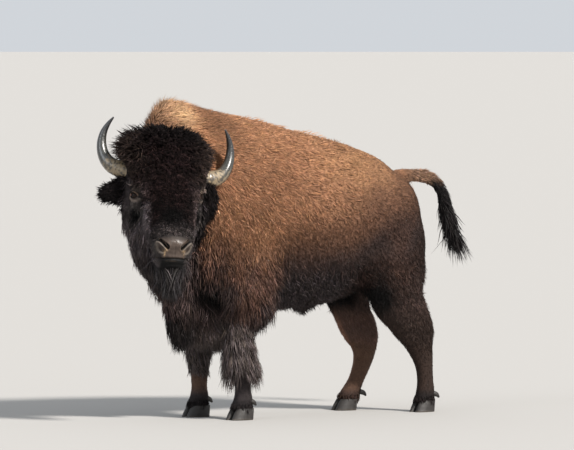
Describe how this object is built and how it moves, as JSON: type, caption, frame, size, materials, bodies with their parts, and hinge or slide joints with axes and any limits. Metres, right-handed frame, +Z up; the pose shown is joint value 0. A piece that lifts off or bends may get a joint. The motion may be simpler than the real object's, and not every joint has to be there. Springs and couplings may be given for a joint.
{
  "type": "American bison, standing model",
  "caption": "Life-size standing American bison, a young bull in winter coat, its head turned to the left and its tail raised.",
  "frame": {"origin": "middle of the animal's bounding box, on the ground under its hooves", "axes": "+Z up, -Y the way the body faces, +X the animal's left"},
  "size_m": [0.8545, 2.2819, 1.6],
  "materials": {
    "coat_tan": "short dense fur, tan to golden brown",
    "coat_brown": "short dark brown fur",
    "coat_dark": "long black-brown hair",
    "horn": "polished black horn, tan at the base",
    "hoof": "matt black hoof",
    "eye": "wet, nearly black"
  },
  "bodies": {
    "root": {"barrel": "coat_tan", "beard": "coat_dark", "dewclaw_fore_l_in": "hoof", "dewclaw_fore_l_out": "hoof", "dewclaw_fore_r_in": "hoof", "dewclaw_fore_r_out": "hoof", "dewclaw_hind_l_in": "hoof", "dewclaw_hind_l_out": "hoof", "dewclaw_hind_r_in": "hoof", "dewclaw_hind_r_out": "hoof", "ear_l": "coat_dark", "ear_r": "coat_dark", "eye_l": "eye", "eye_r": "eye", "forefoot_l": "coat_dark", "forefoot_r": "coat_dark", "foreleg_l": "coat_dark", "foreleg_r": "coat_dark", "forequarter": "coat_tan", "head": "coat_dark", "hindfoot_l": "coat_brown", "hindfoot_r": "coat_brown", "hindleg_l": "coat_brown", "hindleg_r": "coat_brown", "hindquarter": "coat_brown", "hoof_fore_l_in": "hoof", "hoof_fore_l_out": "hoof", "hoof_fore_r_in": "hoof", "hoof_fore_r_out": "hoof", "hoof_hind_l_in": "hoof", "hoof_hind_l_out": "hoof", "hoof_hind_r_in": "hoof", "hoof_hind_r_out": "hoof", "horn_l": "horn", "horn_r": "horn", "muzzle": "coat_dark", "neck": "coat_tan", "tail": "coat_brown", "tail_switch": "coat_dark"}
  },
  "joints": []
}
